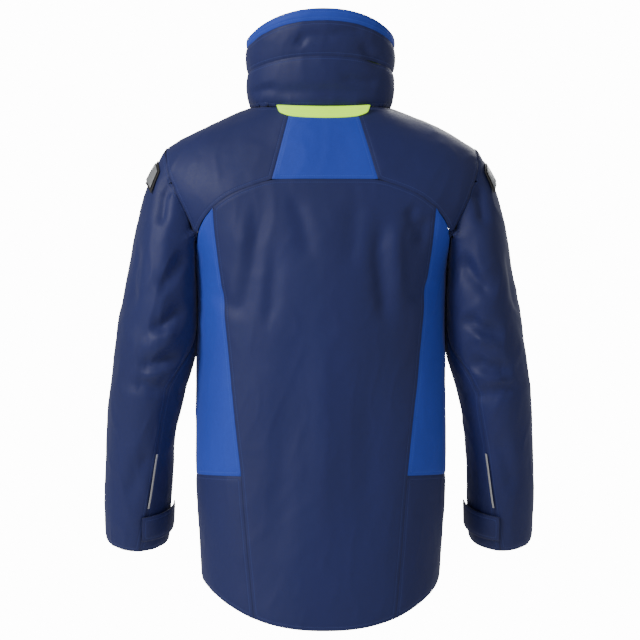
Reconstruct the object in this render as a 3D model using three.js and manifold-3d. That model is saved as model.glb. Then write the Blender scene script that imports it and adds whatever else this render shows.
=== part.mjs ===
// Foul weather jacket: shell panels, collar with a stowed hood, articulated sleeves and front hardware.
// Units are millimetres, +Z is up, the zip faces -Y and the wearer's left is +X.
// Cloth pieces are thin curved plates: a box whose grid is laid on a garment surface, edge to edge
// along shared seams. The origin is the point where a peg carries the hanger loop.
import * as THREE from 'three';
import { mergeVertices } from 'three/addons/utils/BufferGeometryUtils.js';
import Module from 'manifold-3d';

const wasm = await Module();
wasm.setup();

// ---------- driving dimensions ----------
const seamGap = 1.1;              // between two sewn neighbours
const layerGap = 0.4;             // between one layer and the next on top of it
const shellThickness = 3;         // three-layer cloth with its folded seams
const trimThickness = 1.2;        // tapes, patches and labels
const pipingRoom = 0.4;           // between the shell and the forearm strip
const liningRoom = 0.6;           // between the shell and the facing inside the hem

const backLength = 799;           // collar seam to the lowest point of the hem, at the back
const frontHemRise = 104;         // how much higher the hem is at the front than at the back
const sideHemRise = 78;           // and at the sides
const hemDip = 1.4;               // a higher number leaves more of the hem up at side height
const chestHalfWidth = 191;       // half the width below the arms
const hemHalfWidth = 180;
const shoulderHalfWidth = 238;    // centre back to the tip of the shoulder
const shoulderDrop = 66;          // neck to shoulder tip, measured down
const underarmDrop = 235;         // neck to the bottom of the armhole
const armholeAngle = 32;          // degrees of the body that the armhole takes in front and behind
const backDepth = 140;            // body centre to the back cloth, at its fullest
const frontTopDepth = 104;        // body centre to the zip at the top of the collar
const frontHemDepth = 150;        // and at the hem
const sectionPower = 2.3;         // 2 is an ellipse, more is squarer

const neckHalfWidth = 109;
const backNeckDepth = 76;
const frontNeckDrop = 55;         // how far the neck seam dips at the zip
const collarBackHeight = 151;
const collarSideHeight = 104;
const collarFrontTop = 85;        // height of the collar's top edge at the zip
const collarTopHalfWidth = 115;
const collarTopBackDepth = 92;
const collarPower = 2.2;          // squareness of the collar's outline
const collarSeamShare = 0.52;     // where the seam between the two collar panels runs
const topBandHeight = 18;
const hoodPocketDepth = 16;       // space between collar and lining that holds the hood

const yokeNeckHalfWidth = 50;     // centre yoke, where it meets the neck seam
const yokeFootHalfWidth = 81;     // centre yoke, at its lower edge
const yokeFootDrop = 111;
const yokeApexInset = 20;         // chest side in to where the yoke seam turns to the armhole
const yokeApexDrop = 154;
const sidePanelFootDrop = 564;    // lower end of the contrast side panels

const cuffHalfWidth = 50;
const cuffHalfDepth = 57;
const sleeveEndDrop = 662;        // neck to the middle of the cuff, measured down
const sleeveEndReach = 282;       // centre of the cuff out from the body centre
const pipingLength = 76;

const zipEdge = 5.5;              // zip centre to the edge of the front cloth
const zipSlit = 0.8;              // zip centre to each row of teeth
const toothWidth = 3;
const tapeWidth = 15;
const sliderLength = 17;
const sliderHalfWidth = 6;
const sliderClearance = 0.5;
const pullerLength = 34;
const flapLength = 700;
const flapWidth = 62;
const flapTopDrop = -20;          // negative: above the neck seam
const flapStandoff = 7.5;         // room under the storm flap for the slider and its puller

const chestZipLength = 140;
const chestZipOut = 80;           // zip centre to the pocket zip
const chestZipDrop = 248;
const pocketWidth = 96;
const pocketHeight = 150;
const pocketInset = 44;           // zip centre to the near side of the pocket
const pocketDrop = 500;
const pocketFlapHeight = 66;
const pocketFlapLap = 32;         // how far the flap starts above the pocket mouth

// ---------- small helpers ----------
const radians = degrees => (degrees * Math.PI) / 180;
const mix = (a, b, t) => a + (b - a) * t;

// A smooth function through hand-set stations [position, value], in rising order of position.
function through(stations) {
  const slope = i => {
    const before = stations[Math.max(i - 1, 0)];
    const after = stations[Math.min(i + 1, stations.length - 1)];
    return (after[1] - before[1]) / (after[0] - before[0]);
  };
  return position => {
    const last = stations.length - 2;
    let i = stations.findIndex(station => station[0] > position) - 1;
    if (i < 0) i = position <= stations[0][0] ? 0 : last;
    const [p0, v0] = stations[i];
    const [p1, v1] = stations[i + 1];
    const span = p1 - p0;
    const t = Math.min(Math.max((position - p0) / span, 0), 1);
    const ease = t * t * (3 - 2 * t);
    const rise = t * (1 - t) * (1 - t) * span * slope(i);
    const fall = t * t * (1 - t) * span * slope(i + 1);
    return mix(v0, v1, ease) + rise - fall;
  };
}

// Points picked evenly from a function of 0 to 1.
const sample = (count, edge) => Array.from({ length: count + 1 }, (_, i) => edge(i / count));

// Two runs of points end to end, with the shared point kept once.
const chain = (...runs) => runs.flatMap((run, i) => (i ? run.slice(1) : run));

// Straight run between two surface coordinates.
const straight = (count, from, to) =>
  sample(count, t => [mix(from[0], to[0], t), mix(from[1], to[1], t)]);

// ---------- the body surface ----------
// A point of the body is set by its angle (0 at the wearer's left, 90 at the back, -90 at the zip)
// and its height. Each level is a squared-off oval with its own width and depths.
const halfWidthAt = through([
  [-backLength, hemHalfWidth - 2],
  [-backLength + 90, hemHalfWidth + 4],
  [-sidePanelFootDrop, chestHalfWidth],
  [-underarmDrop - 150, chestHalfWidth],
  [-underarmDrop - 40, chestHalfWidth + 1],
  [-underarmDrop, chestHalfWidth + 6],
  [-underarmDrop + 35, shoulderHalfWidth - 23],
  [-underarmDrop + 75, shoulderHalfWidth + 7],
  [-shoulderDrop - 54, shoulderHalfWidth + 24],
  [-shoulderDrop - 29, shoulderHalfWidth + 20],
  [-shoulderDrop - 14, shoulderHalfWidth + 12],
  [-shoulderDrop, shoulderHalfWidth],
  [-shoulderDrop * 0.74, mix(neckHalfWidth, shoulderHalfWidth, 0.81)],
  [-shoulderDrop * 0.5, mix(neckHalfWidth, shoulderHalfWidth, 0.59)],
  [-shoulderDrop * 0.25, mix(neckHalfWidth, shoulderHalfWidth, 0.31)],
  [0, neckHalfWidth],
]);
const backDepthAt = through([
  [-backLength, backDepth - 12],
  [-sidePanelFootDrop, backDepth - 14],
  [-underarmDrop - 200, backDepth - 9],
  [-underarmDrop - 40, backDepth],
  [-yokeApexDrop, backDepth - 10],
  [-yokeFootDrop, backDepth - 21],
  [-yokeFootDrop / 2, backDepth - 41],
  [0, backNeckDepth],
]);
const zipDepthAt = z =>
  mix(frontTopDepth, frontHemDepth, (collarFrontTop - z) / (collarFrontTop + backLength - frontHemRise));

const squared = (value, power) => Math.sign(value) * Math.abs(value) ** (2 / power);

function bodyPoint(angle, z) {
  const depth = angle > 0 && angle < 180 ? backDepthAt(z) : zipDepthAt(z);
  return new THREE.Vector3(
    halfWidthAt(z) * squared(Math.cos(radians(angle)), sectionPower),
    depth * squared(Math.sin(radians(angle)), sectionPower),
    z,
  );
}

// The angle of the point that is this far out from the centre line, at the back or at the front.
const outAngle = (out, z) =>
  (Math.acos(Math.min((out / halfWidthAt(z)) ** (sectionPower / 2), 1)) * 180) / Math.PI;
const atBack = (out, z) => [outAngle(out, z), z];
const atFront = (out, z) => [-outAngle(out, z), z];

const surfaceNormal = (surface, p, q, stepP, stepQ) => {
  const alongP = surface(p + stepP, q).sub(surface(p - stepP, q));
  const alongQ = surface(p, q + stepQ).sub(surface(p, q - stepQ));
  return alongP.cross(alongQ).normalize();
};
const plainBodyNormal = (angle, z) => surfaceNormal(bodyPoint, angle, Math.min(z, -1), 1, 1);

// ---------- the sleeve surface (wearer's left) ----------
// A point of the sleeve is set by its angle (0 outside, 90 behind, 180 against the body) and its
// place from 0 at the armhole to 1 at the cuff. Rings: outer and inner x and z, centre y, half depth
// and the forward tilt of the ring in degrees.
const armholeMiddle = -(shoulderDrop + underarmDrop) / 2;
const armholeHalfHeight = (underarmDrop - shoulderDrop) / 2;
const armholeAt = angle => [
  armholeAngle * Math.sin(radians(angle)),
  armholeMiddle + armholeHalfHeight * Math.cos(radians(angle)),
];

const sleeveInside = chestHalfWidth + 10;
const underarmLap = 6;            // how far the sleeve stands off the body under the arm
const armLength = sleeveEndDrop - underarmDrop;
const outerReach = share => mix(shoulderHalfWidth + 45, sleeveEndReach + cuffHalfWidth, share);
const rings = [
  { outer: [shoulderHalfWidth + 30, -shoulderDrop - 52], inner: [sleeveInside, -underarmDrop - 27] },
  { outer: [shoulderHalfWidth + 45, -shoulderDrop - 114], inner: [sleeveInside, -underarmDrop - 57] },
  { outer: [outerReach(0.33), -underarmDrop - armLength * 0.06],
    inner: [sleeveInside, -underarmDrop - armLength * 0.22] },
  { outer: [outerReach(0.62), -underarmDrop - armLength * 0.27],
    inner: [sleeveInside + 1, -underarmDrop - armLength * 0.35] },
  { outer: [outerReach(0.84), -underarmDrop - armLength * 0.46],
    inner: [sleeveInside + 12, -underarmDrop - armLength * 0.48] },
  { outer: [sleeveEndReach + cuffHalfWidth - 2, -underarmDrop - armLength * 0.655],
    inner: [sleeveEndReach - cuffHalfWidth - 6, -underarmDrop - armLength * 0.62] },
  { outer: [sleeveEndReach + cuffHalfWidth + 1, -underarmDrop - armLength * 0.855],
    inner: [sleeveEndReach - cuffHalfWidth - 3, -underarmDrop - armLength * 0.83] },
  { outer: [sleeveEndReach + cuffHalfWidth, -sleeveEndDrop],
    inner: [sleeveEndReach - cuffHalfWidth, -sleeveEndDrop] },
].map((ring, i) => ({
  ...ring,
  y: [2, 4, 3, -1, -11, -27, -48, -68][i],
  depth: cuffHalfDepth + [23, 27, 26, 21, 15, 8, 4, 0][i],
  tilt: [0, 0, 0, 2, 5, 10, 17, 24][i],
}));

function ringPoint(ring, angle) {
  const middle = [(ring.outer[0] + ring.inner[0]) / 2, (ring.outer[1] + ring.inner[1]) / 2];
  const half = [(ring.outer[0] - ring.inner[0]) / 2, (ring.outer[1] - ring.inner[1]) / 2];
  const out = Math.cos(radians(angle));
  const behind = Math.sin(radians(angle)) * ring.depth;
  return new THREE.Vector3(
    middle[0] + half[0] * out,
    ring.y + behind * Math.cos(radians(ring.tilt)),
    middle[1] + half[1] * out - behind * Math.sin(radians(ring.tilt)),
  );
}

function sleevePoint(angle, place) {
  const [around, height] = armholeAt(angle);
  const lap = underarmLap * (1 - Math.cos(radians(angle))) / 2;
  const start = bodyPoint(around, height).addScaledVector(plainBodyNormal(around, height), lap);
  const run = new THREE.CatmullRomCurve3([start, ...rings.map(ring => ringPoint(ring, angle))]);
  return run.getPoint(Math.min(Math.max(place, 0), 1));
}
const plainSleeveNormal = (angle, place) =>
  surfaceNormal(sleevePoint, angle, Math.min(Math.max(place, 0.01), 0.99), 2, 0.01).negate();

// ---------- the collar surface ----------
// A point of the collar is set by the body angle and a share of its height, 0 at the neck seam.
// The neck seam lies on the body: level behind, and dipping to the zip in front.
function neckAt(angle) {
  if (angle >= 0 && angle <= 180) return [angle, 0];
  const z = -frontNeckDrop * Math.abs(Math.sin(radians(angle))) ** 1.6;
  const onBody = outAngle(Math.abs(neckHalfWidth * squared(Math.cos(radians(angle)), collarPower)), z);
  return angle < 0 ? [-onBody, z] : [180 + onBody, z];
}

function collarPoint(angle, share) {
  const foot = bodyPoint(...neckAt(angle));
  const side = Math.cos(radians(angle));
  const rear = Math.sin(radians(angle));
  const topHeight = rear > 0
    ? collarSideHeight + (collarBackHeight - collarSideHeight) * rear ** 1.5
    : collarSideHeight + (collarFrontTop - collarSideHeight) * rear ** 2;
  const topDepth = rear > 0 ? collarTopBackDepth : frontTopDepth;
  const top = new THREE.Vector3(
    collarTopHalfWidth * squared(side, collarPower),
    topDepth * squared(rear, collarPower),
    topHeight,
  );
  return foot.lerp(top, share);
}
const plainCollarNormal = (angle, share) => surfaceNormal(collarPoint, angle, share, 1, 0.02);

// ---------- seam normals shared by two surfaces ----------
const between = (a, b) => a.clone().add(b).normalize();
const onArmhole = (angle, z) =>
  Math.abs(Math.hypot(angle / armholeAngle, (z - armholeMiddle) / armholeHalfHeight) - 1) < 1e-6;
const armholeNormal = angle =>
  between(plainBodyNormal(...armholeAt(angle)), plainSleeveNormal(angle, 0));
function bodyNormal(angle, z) {
  if (onArmhole(angle, z)) {
    const across = angle / armholeAngle;
    const upward = (z - armholeMiddle) / armholeHalfHeight;
    const around = (Math.atan2(across, upward) * 180) / Math.PI;
    return armholeNormal(around);
  }
  return plainBodyNormal(angle, z);
}
const sleeveNormal = (angle, place) =>
  (place === 0 ? armholeNormal(angle) : plainSleeveNormal(angle, place));

const body = { point: bodyPoint, normal: bodyNormal };
const sleeve = { point: sleevePoint, normal: sleeveNormal };
const collar = { point: collarPoint, normal: plainCollarNormal };

// ---------- cloth plates ----------
// Fills four edges, given as points in surface coordinates, and makes a plate of the given thickness.
// bottom and top run the same way, and so do left and right. lift raises the plate's middle layer.
function plate(surface, edges, thickness, lift = 0, gap = seamGap) {
  const { bottom, top, left, right } = edges;
  const across = bottom.length - 1;
  const along = left.length - 1;
  const fill = (i, j, k) => {
    const u = i / across;
    const v = j / along;
    const corners = mix(mix(bottom[0][k], bottom[across][k], u), mix(top[0][k], top[across][k], u), v);
    return mix(bottom[i][k], top[i][k], v) + mix(left[j][k], right[j][k], u) - corners;
  };
  const places = [];
  const normals = [];
  for (let i = 0; i <= across; i++) {
    places.push([]);
    normals.push([]);
    for (let j = 0; j <= along; j++) {
      const [p, q] = [fill(i, j, 0), fill(i, j, 1)];
      places[i].push(surface.point(p, q));
      normals[i].push(surface.normal(p, q));
    }
  }
  pullIn(places, across, along, gap / 2);
  return bentBox(across, along, (i, j, outside) =>
    places[i][j].clone().addScaledVector(normals[i][j], lift + (outside ? 0.5 : -0.5) * thickness));
}

// Moves the edge rows of a grid of points inward, square to the edge, by the given distance.
function pullIn(places, across, along, distance) {
  const moved = places.map(row => row.map(point => point.clone()));
  const at = (i, j) => places[Math.min(Math.max(i, 0), across)][Math.min(Math.max(j, 0), along)];
  const pull = (i, j, di, dj) => {
    const edgeRun = at(i + dj, j + di).clone().sub(at(i - dj, j - di)).normalize();
    const inward = at(i + di, j + dj).clone().sub(places[i][j]);
    inward.addScaledVector(edgeRun, -inward.dot(edgeRun));
    moved[i][j].add(inward.setLength(distance));
  };
  for (let j = 0; j <= along; j++) {
    pull(0, j, 1, 0);
    pull(across, j, -1, 0);
  }
  for (let i = 0; i <= across; i++) {
    pull(i, 0, 0, 1);
    pull(i, along, 0, -1);
  }
  places.forEach((row, i) => row.forEach((point, j) => point.copy(moved[i][j])));
}

// A box with its grid moved to new places: at(i, j, outside) gives each point.
function bentBox(across, along, at) {
  const geometry = new THREE.BoxGeometry(1, 1, 1, across, along, 1);
  const position = geometry.getAttribute('position');
  for (let n = 0; n < position.count; n++) {
    const i = Math.round((position.getX(n) + 0.5) * across);
    const j = Math.round((position.getY(n) + 0.5) * along);
    const point = at(i, j, position.getZ(n) > 0);
    position.setXYZ(n, point.x, point.y, point.z);
  }
  return facingOut(welded(geometry));
}

function welded(geometry) {
  geometry.deleteAttribute('normal');
  geometry.deleteAttribute('uv');
  return mergeVertices(geometry, 1e-4);
}

function facingOut(geometry) {
  const position = geometry.getAttribute('position');
  const index = geometry.getIndex();
  const corner = n => new THREE.Vector3().fromBufferAttribute(position, index.getX(n));
  let volume = 0;
  for (let n = 0; n < index.count; n += 3) volume += corner(n).dot(corner(n + 1).cross(corner(n + 2)));
  return volume < 0 ? turned(geometry) : geometry;
}

function turned(geometry) {
  const index = geometry.getIndex();
  for (let n = 0; n < index.count; n += 3) {
    const second = index.getX(n + 1);
    index.setX(n + 1, index.getX(n + 2));
    index.setX(n + 2, second);
  }
  return geometry;
}

const mirrored = geometry => turned(geometry.clone().scale(-1, 1, 1));

// ---------- solid joins and cuts ----------
function solid(geometry) {
  const shape = geometry.getIndex() && !geometry.getAttribute('uv') ? geometry : welded(geometry);
  return new wasm.Manifold(new wasm.Mesh({
    numProp: 3,
    vertProperties: new Float32Array(shape.getAttribute('position').array),
    triVerts: new Uint32Array(shape.getIndex().array),
  }));
}

function geometryOf(shape) {
  const mesh = shape.getMesh();
  const geometry = new THREE.BufferGeometry();
  geometry.setAttribute('position', new THREE.BufferAttribute(mesh.vertProperties.slice(), 3));
  geometry.setIndex(new THREE.BufferAttribute(mesh.triVerts.slice(), 1));
  return geometry;
}

const joined = parts => geometryOf(parts.map(solid).reduce((whole, part) => whole.add(part)));

// A flat outline in x and y, drawn out along z between two heights.
function drawnOut(outline, fromZ, toZ, hole) {
  const shape = new THREE.Shape(outline.map(([x, y]) => new THREE.Vector2(x, y)));
  if (hole) shape.holes.push(hole);
  const geometry = new THREE.ExtrudeGeometry(shape, {
    depth: toZ - fromZ, bevelEnabled: false, curveSegments: 8,
  });
  return geometry.translate(0, 0, fromZ);
}

const block = (x0, x1, y0, y1, z0, z1) =>
  new THREE.BoxGeometry(x1 - x0, y1 - y0, z1 - z0).translate((x0 + x1) / 2, (y0 + y1) / 2, (z0 + z1) / 2);

// ---------- materials ----------
const cloth = (colour, roughness = 0.75) =>
  new THREE.MeshStandardMaterial({ color: colour, roughness, metalness: 0 });
const navy = () => cloth('#1c2a5c');
const royal = () => cloth('#2450b4');
const hiVis = () => cloth('#c8f02e', 0.6);
const lining = () => cloth('#23283a', 0.9);
const darkTrim = () => cloth('#23252b', 0.6);
const reflective = () => new THREE.MeshStandardMaterial({
  color: '#b9bcc0', roughness: 0.35, metalness: 0.2,
});
const zipPlastic = () => cloth('#15181f', 0.45);

// ---------- the jacket ----------
const jacket = new THREE.Group();
jacket.name = 'foul_weather_jacket';

function add(name, geometry, material, parent = jacket) {
  const mesh = new THREE.Mesh(geometry, material);
  mesh.name = name;
  parent.add(mesh);
  return mesh;
}

// Adds the wearer's left piece and its mirror image on the right.
function addPair(name, geometry, material) {
  add(`${name}_left`, geometry, material());
  add(`${name}_right`, mirrored(geometry), material());
}

// ---------- seams of the body ----------
const hemAt = angle => {
  const rear = Math.sin(radians(angle));
  const rise = rear > 0 ? sideHemRise * (1 - rear ** hemDip) : mix(sideHemRise, frontHemRise, rear ** 2);
  return -backLength + rise;
};
const onHem = angle => [angle, hemAt(angle)];
const armholeRun = (from, to, count) => sample(count, t => armholeAt(mix(from, to, t)));

const yokeCorner = atBack(yokeFootHalfWidth, -yokeFootDrop);
const yokeApexHalf = chestHalfWidth - yokeApexInset;
const yokeApex = atBack(yokeApexHalf, -yokeApexDrop);
const armholeYokeAngle = 126;     // where the yoke seam reaches the armhole
const armholeStep = 18;

// From the centre yoke's corner out to the apex, at the back or in front.
const archStations = through([
  [yokeFootHalfWidth, -yokeFootDrop],
  [mix(yokeFootHalfWidth, yokeApexHalf, 0.5), mix(-yokeFootDrop, -yokeApexDrop, 0.35)],
  [mix(yokeFootHalfWidth, yokeApexHalf, 0.92), mix(-yokeFootDrop, -yokeApexDrop, 0.8)],
  [yokeApexHalf, -yokeApexDrop],
]);
const yokeArch = sample(4, t => {
  const out = mix(yokeFootHalfWidth, yokeApexHalf, t);
  return atBack(out, archStations(out));
});
const yokeTail = straight(2, yokeApex, armholeAt(armholeYokeAngle));
const footBack = atBack(mix(yokeFootHalfWidth, yokeApexHalf, 0.51), -sidePanelFootDrop);
const sideBackOut = through([
  [-sidePanelFootDrop, mix(yokeFootHalfWidth, yokeApexHalf, 0.51)],
  [-sidePanelFootDrop + 144, yokeApexHalf * 0.83],
  [-underarmDrop - 35, yokeApexHalf * 0.91],
  [-yokeApexDrop - 62, yokeApexHalf * 0.965],
  [-yokeApexDrop, yokeApexHalf],
]);
const sideBack = sample(9, t => {
  const z = mix(-sidePanelFootDrop, -yokeApexDrop, t);
  return atBack(sideBackOut(z), z);
});
const lowerBack = straight(4, onHem(56), footBack);
const toFront = run => run.map(([angle, z]) => [-angle, z]);
const frontHem = onHem(-56);
const lowerFront = straight(4, frontHem, [-footBack[0], footBack[1]]);
const sideFront = toFront(sideBack);

// ---------- back, yokes, sides and fronts ----------
function addBackPanels() {
  const mirrorAngle = ([angle, z]) => [180 - angle, z];
  const leftEdge = chain(lowerBack, sideBack);
  const foot = [180 - yokeCorner[0], yokeCorner[1]];
  const topEdge = chain([...yokeArch].reverse(), straight(4, yokeCorner, foot), yokeArch.map(mirrorAngle));
  add('back_panel', plate(body, {
    left: leftEdge,
    right: leftEdge.map(mirrorAngle),
    bottom: sample(12, t => onHem(mix(56, 124, t))),
    top: topEdge,
  }, shellThickness), navy());

  const yokeSide = sample(7, t =>
    atBack(mix(yokeFootHalfWidth, yokeNeckHalfWidth, t), mix(-yokeFootDrop, 0, t)));
  add('back_yoke_center', plate(body, {
    left: yokeSide,
    right: yokeSide.map(mirrorAngle),
    bottom: straight(4, yokeCorner, foot),
    top: straight(4, yokeSide[7], mirrorAngle(yokeSide[7])),
  }, shellThickness), royal());

  const shoulderTip = [0, -shoulderDrop];
  addPair('back_yoke', plate(body, {
    left: yokeSide,
    right: armholeRun(armholeYokeAngle, 0, armholeYokeAngle / armholeStep),
    bottom: chain(yokeArch, yokeTail),
    top: chain(straight(2, yokeSide[7], [0, 0]), straight(4, [0, 0], shoulderTip)),
  }, shellThickness), navy);
}

function addSidePanels() {
  const underArm = armholeRun(armholeYokeAngle, 360 - armholeYokeAngle, 6);
  const frontTail = toFront([...yokeTail].reverse());
  const foot = straight(10, footBack, [-footBack[0], footBack[1]]);
  addPair('side_panel', plate(body, {
    left: sideBack,
    right: sideFront,
    bottom: foot,
    top: chain(yokeTail, underArm, frontTail),
  }, shellThickness), royal);
  addPair('lower_side_panel', plate(body, {
    left: lowerBack,
    right: lowerFront,
    bottom: sample(10, t => onHem(mix(56, -56, t))),
    top: foot,
  }, shellThickness), navy);
}

function addFrontPanels() {
  const zipSide = z => atFront(zipEdge, z);
  const frontSeamDrop = yokeApexDrop - 8;
  const seamToZip = sample(5, t =>
    atFront(mix(yokeApexHalf, zipEdge, t), mix(-yokeApexDrop, -frontSeamDrop, t)));
  const hemAtZip = -backLength + frontHemRise;
  addPair('front_panel', plate(body, {
    left: chain(lowerFront, sideFront),
    right: sample(13, t => zipSide(mix(hemAtZip, -frontSeamDrop, t))),
    bottom: sample(5, t => onHem(mix(-56, zipSide(hemAtZip)[0], t))),
    top: seamToZip,
  }, shellThickness), navy);

  const neckAtZip = zipSide(-frontNeckDrop);
  const neckRun = sample(3, t => neckAt(mix(0, -90, t)));
  neckRun[3] = neckAtZip;
  addPair('front_yoke', plate(body, {
    left: armholeRun(360 - armholeYokeAngle, 360, armholeYokeAngle / armholeStep),
    right: sample(7, t => zipSide(mix(-frontSeamDrop, -frontNeckDrop, t))),
    bottom: chain(toFront([...yokeTail].reverse()), seamToZip),
    top: chain(straight(4, [0, -shoulderDrop], [0, 0]), neckRun),
  }, shellThickness), navy);
}

// ---------- sleeves ----------
const backSeamAngle = through([
  [0, 162], [0.28, 168], [0.39, 172], [0.47, 156], [0.56, 124], [0.72, 122], [0.88, 106], [1, 92],
]);
const frontSeamAngle = place => 360 - backSeamAngle(place);

const armholeSeam = 0.006;        // where the sleeve cloth starts, clear of the body cloth
function addSleeves() {
  const place = t => mix(armholeSeam, 1, t);
  const backSeam = sample(12, t => [backSeamAngle(place(t)), place(t)]);
  const frontSeam = sample(12, t => [frontSeamAngle(place(t)), place(t)]);
  const outerFront = frontSeam.map(([angle, t]) => [angle - 360, t]);
  const acrossTop = (count, from, to) => sample(count, t => [mix(from, to, t), armholeSeam]);
  const acrossCuff = (count, from, to) => sample(count, t => [mix(from, to, t), 1]);
  addPair('sleeve', plate(sleeve, {
    left: outerFront,
    right: backSeam,
    bottom: acrossTop(18, outerFront[0][0], backSeam[0][0]),
    top: acrossCuff(18, outerFront[12][0], backSeam[12][0]),
  }, shellThickness), navy);
  addPair('under_sleeve', plate(sleeve, {
    left: backSeam,
    right: frontSeam,
    bottom: acrossTop(6, backSeam[0][0], frontSeam[0][0]),
    top: acrossCuff(6, backSeam[12][0], frontSeam[12][0]),
  }, shellThickness), navy);
}

// A patch laid on a surface between two angles and two places.
function patch(surface, angles, places, counts, thickness, lift) {
  return plate(surface, {
    left: straight(counts[1], [angles[0], places[0]], [angles[0], places[1]]),
    right: straight(counts[1], [angles[1], places[0]], [angles[1], places[1]]),
    bottom: straight(counts[0], [angles[0], places[0]], [angles[1], places[0]]),
    top: straight(counts[0], [angles[0], places[1]], [angles[1], places[1]]),
  }, thickness, lift);
}

const onShell = thickness => shellThickness / 2 + layerGap + thickness / 2;

function addSleeveTrims() {
  const frameLift = onShell(trimThickness) + 1;
  addPair('shoulder_patch_frame',
    patch(sleeve, [-8, 38], [0.04, 0.125], [4, 2], trimThickness, frameLift), darkTrim);
  addPair('shoulder_patch_reflector',
    patch(sleeve, [-4, 34], [0.05, 0.115], [4, 2], 0.8, frameLift + trimThickness + layerGap), reflective);
  const pipingFrom = 0.775;
  const pipingTo = pipingFrom + pipingLength / (armLength + 260);
  const pipingEdge = side => sample(4, t => {
    const place = mix(pipingFrom, pipingTo, t);
    return [backSeamAngle(place) + side, place];
  });
  addPair('forearm_piping', plate(sleeve, {
    left: pipingEdge(-2),
    right: pipingEdge(2),
    bottom: straight(1, pipingEdge(-2)[0], pipingEdge(2)[0]),
    top: straight(1, pipingEdge(-2)[4], pipingEdge(2)[4]),
  }, trimThickness, onShell(trimThickness) + pipingRoom), reflective);
  addPair('cuff_facing',
    patch(sleeve, [92, 451], [0.91, 0.995], [16, 1], trimThickness, -onShell(trimThickness) - 2.8), lining);
  addPair('inner_cuff',
    patch(sleeve, [92, 451], [0.84, 0.99], [16, 1], 2, -11), lining);
  addPair('cuff_loop_pad',
    patch(sleeve, [112, 166], [0.915, 0.965], [4, 1], 1, onShell(1) + 0.4), darkTrim);
}

// The tab is sewn down at the back seam and swings about a straight line there.
const tabPlaces = [0.905, 0.97];
const tabAngle = 95;
const tabLift = onShell(1) + 1 + layerGap + 1.9;
function addCuffTabs() {
  addPair('cuff_tab',
    patch(sleeve, [tabAngle, 182], tabPlaces, [7, 2], 2.4, tabLift), navy);
}

// ---------- collar ----------
const collarZipAngle = out => -(Math.acos((out / neckHalfWidth) ** (collarPower / 2)) * 180) / Math.PI;

function collarPiece(from, to, out, counts, thickness, liftAt) {
  const ends = [collarZipAngle(out), 180 - collarZipAngle(out)];
  const surface = {
    point: (angle, share) => collarPoint(angle, share)
      .addScaledVector(plainCollarNormal(angle, Math.max(share, 0.02)), liftAt(share)),
    normal: (angle, share) => plainCollarNormal(angle, Math.max(share, 0.02)),
  };
  return patch(surface, ends, [from, to], counts, thickness, 0);
}

function addCollar() {
  const bandShare = 1 - topBandHeight / (collarBackHeight - 8);
  const flush = () => 0;
  const cells = 28;
  const foot = 0.035;
  add('collar_lower',
    collarPiece(foot, collarSeamShare, zipEdge, [cells, 2], shellThickness, flush), navy());
  add('collar_upper',
    collarPiece(collarSeamShare, bandShare, zipEdge, [cells, 2], shellThickness, flush), navy());
  add('collar_top_band',
    collarPiece(bandShare, 1, zipEdge, [cells, 1], shellThickness, flush), royal());
  const pocketLift = share => -mix(hoodPocketDepth, 4, Math.max(0, (share - 0.6) / 0.4));
  add('collar_lining', collarPiece(0.03, 0.985, 22, [cells, 3], 2, pocketLift), lining());
}

function addHood() {
  const rolled = {
    point: (angle, share) => collarPoint(angle, share)
      .addScaledVector(plainCollarNormal(angle, share), -(shellThickness + hoodPocketDepth - 1) / 2),
    normal: plainCollarNormal,
  };
  add('stowed_hood',
    patch(rolled, [20, 160], [0.12, 0.5], [12, 2], hoodPocketDepth - 8, 0), hiVis());
  const tabTop = atBack(71, -5);
  const tabFoot = atBack(66, -10);
  const across = t => 180 * t;
  const edge = (start, dip) => sample(8, t => [
    mix(start[0], 180 - start[0], t), start[1] - dip * Math.sin(radians(across(t))) ** 0.6,
  ]);
  add('hood_tab', plate(body, {
    left: straight(1, tabFoot, tabTop),
    right: straight(1, tabFoot, tabTop).map(([angle, z]) => [180 - angle, z]),
    bottom: edge(tabFoot, 8),
    top: edge(tabTop, 0),
  }, trimThickness, onShell(trimThickness) + 0.6), hiVis());
}

// ---------- hem ----------
function addHemFacing() {
  const from = -outAngle(22, -backLength + frontHemRise);
  const run = rise => sample(28, t => {
    const angle = mix(from, 180 - from, t);
    const turnedBack = angle > 180 ? angle - 360 : angle;
    return [angle, hemAt(turnedBack) + rise];
  });
  const [low, high] = [run(1), run(38)];
  add('hem_facing', plate(body, {
    bottom: low,
    top: high,
    left: straight(1, low[0], high[0]),
    right: straight(1, low[28], high[28]),
  }, trimThickness, -onShell(trimThickness) - liningRoom), lining());
}

// ---------- hanger loop ----------
const loopHalfWidth = 34;
const loopBar = 5;
const loopGapHeight = 12;
const loopDepth = 3;
const loopCentre = backNeckDepth - hoodPocketDepth - 10;   // centre of the tape, behind the body centre
function addHangerLoop() {
  const stadium = (half, radius) => {
    const outline = new THREE.Shape();
    outline.absarc(half - radius, 0, radius, -Math.PI / 2, Math.PI / 2, false);
    outline.absarc(radius - half, 0, radius, Math.PI / 2, Math.PI * 1.5, false);
    return outline;
  };
  const outline = stadium(loopHalfWidth, loopGapHeight / 2 + loopBar);
  outline.holes.push(stadium(loopHalfWidth - loopBar, loopGapHeight / 2));
  const ring = new THREE.ExtrudeGeometry(outline, {
    depth: loopDepth, bevelEnabled: false, curveSegments: 6,
  });
  ring.translate(0, 0, -loopDepth / 2).rotateX(Math.PI / 2);
  ring.translate(0, loopCentre, -loopGapHeight / 2);
  add('hanger_loop', welded(ring), darkTrim());
}

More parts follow.
